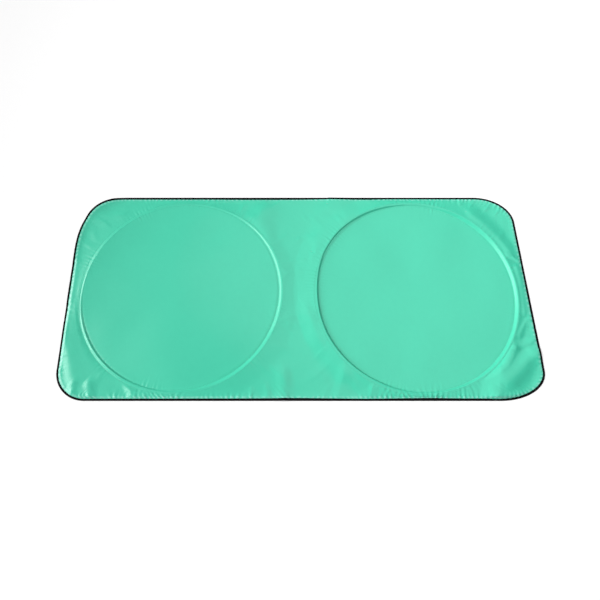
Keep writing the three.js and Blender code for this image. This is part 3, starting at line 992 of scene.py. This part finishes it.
def binding_stitches():
    """The binding's seam, on both of its faces."""
    path, length = rim_path(BINDING_SEAM)
    surfaces = [
        (lambda plan: cloth_height(plan) + BINDING_SEAM_TOP, 1),
        (lambda plan: np.maximum(cloth_height(plan) + BINDING_SEAM_BACK, LOW_STITCH_HEIGHT), -1),
    ]
    piece = make_stitches("binding_stitches", path, length, BLACK_THREAD, surfaces)
    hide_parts("binding_seam")
    return piece


# Assembly

panel = make_panel()
binding = make_binding()
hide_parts("edge_binding")
binding_thread = binding_stitches()
tapes, threads = [], []
for hoop in SIDES:
    tapes.append(make_casing_tape(hoop))
    threads.append(channel_stitches(hoop, "inner", -1))
    threads.append(channel_stitches(hoop, "outer", 1))

for hoop in SIDES:
    for node, finish in (("hoop_wire", drawn_steel()), ("hoop_sleeve", crimped_metal())):
        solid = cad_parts[f"{node}_{hoop}"]
        solid.data.materials.clear()
        solid.data.materials.append(finish)

# Floor, light and camera

FLOOR_HALF_SIDE, FLOOR_DEPTH = 6.0, 0.0004
# The floor glows this much where it is seen straight or in a reflection, so that it comes out white
FLOOR_GLOW = 0.3


def pale_floor():
    finish = Finish("pale_floor", Roughness=0.9, Specular_IOR_Level=0.2)
    grain = finish.cloud(finish.place(), 30.0, 3.0)
    finish.feed("Base Color", finish.blend(grain, (0.84, 0.84, 0.84), (0.87, 0.87, 0.87)))
    camera_ray, glossy_ray, transmission_ray = (
        finish.node("ShaderNodeLightPath", output=f"Is {kind} Ray")
        for kind in ("Camera", "Glossy", "Transmission")
    )
    seen = (camera_ray + glossy_ray + transmission_ray).within()
    glow = finish.node("ShaderNodeEmission", None, {"Strength": seen * FLOOR_GLOW})
    diffuse = Signal(finish, finish.shader.outputs[0])
    shine = finish.node("ShaderNodeAddShader", None, (diffuse, glow))
    output = finish.tree.nodes["Material Output"]
    finish.tree.links.new(shine.socket, output.inputs["Surface"])
    return finish.material


floor_mesh = bpy.data.meshes.new("floor")
floor_corners = [
    (x * FLOOR_HALF_SIDE, y * FLOOR_HALF_SIDE, -FLOOR_DEPTH)
    for x, y in ((-1, -1), (1, -1), (1, 1), (-1, 1))
]
floor_mesh.from_pydata(floor_corners, [], [(0, 1, 2, 3)])
floor_mesh.materials.append(pale_floor())
floor = bpy.data.objects.new("floor", floor_mesh)
bpy.context.scene.collection.objects.link(floor)


def aim(thing, place, target):
    """Puts a lamp or camera in its place, looking at a target."""
    thing.location = place
    thing.rotation_euler = (Vector(target) - Vector(place)).to_track_quat("-Z", "Y").to_euler()
    bpy.context.scene.collection.objects.link(thing)


def lamp(name, place, target, size, power):
    """A soft box, with its size in metres and its power in watts."""
    light = bpy.data.lights.new(name, "AREA")
    light.shape, light.energy = "RECTANGLE", power
    light.size, light.size_y = size
    aim(bpy.data.objects.new(name, light), place, target)


def direction(azimuth, elevation):
    """Unit vector towards an azimuth from +X and an elevation, both in degrees."""
    azimuth, elevation = math.radians(azimuth), math.radians(elevation)
    level = math.cos(elevation)
    return Vector((level * math.cos(azimuth), level * math.sin(azimuth), math.sin(elevation)))


# Broad raking light from the left shows the folds, a soft light hangs over the right half, and a weak
# one fills the near left
raking = bpy.data.lights.new("raking_light", "SUN")
raking.energy, raking.angle = 3.15, math.radians(50)
aim(bpy.data.objects.new("raking_light", raking), direction(174, 30) * 3, (0, 0, 0))
lamp("soft_light", (0.75, 0.65, 1.6), (0.7, 0.6, 0), (2.6, 2.2), 18.5)
lamp("front_light", (-0.6, -1.1, 0.8), (-0.35, -0.35, 0), (0.8, 0.8), 1.8)

world = bpy.data.worlds.new("studio")
bpy.context.scene.world = world
world.use_nodes = True
background = world.node_tree.nodes["Background"]
background.inputs["Color"].default_value = (1, 1, 1, 1)
background.inputs["Strength"].default_value = 0.13

# Camera, as it was fitted to the photograph: its focal length in widths of the picture, its elevation
# in degrees, and its distance from the point that it looks at
FOCAL_SHARE = 438.448 / 600
ELEVATION, DISTANCE = 71.182, 1.4236
LOOKED_AT = Vector((0.0049 + MIDDLE_X * MM, -0.0297, 0))
camera_data = bpy.data.cameras.new("camera")
camera_data.sensor_width, camera_data.sensor_fit = 36, "HORIZONTAL"
camera_data.lens = FOCAL_SHARE * camera_data.sensor_width
camera = bpy.data.objects.new("camera", camera_data)
aim(camera, LOOKED_AT + DISTANCE * direction(-90, ELEVATION), LOOKED_AT)
bpy.context.scene.camera = camera

bpy.context.scene.view_settings.view_transform = "Standard"
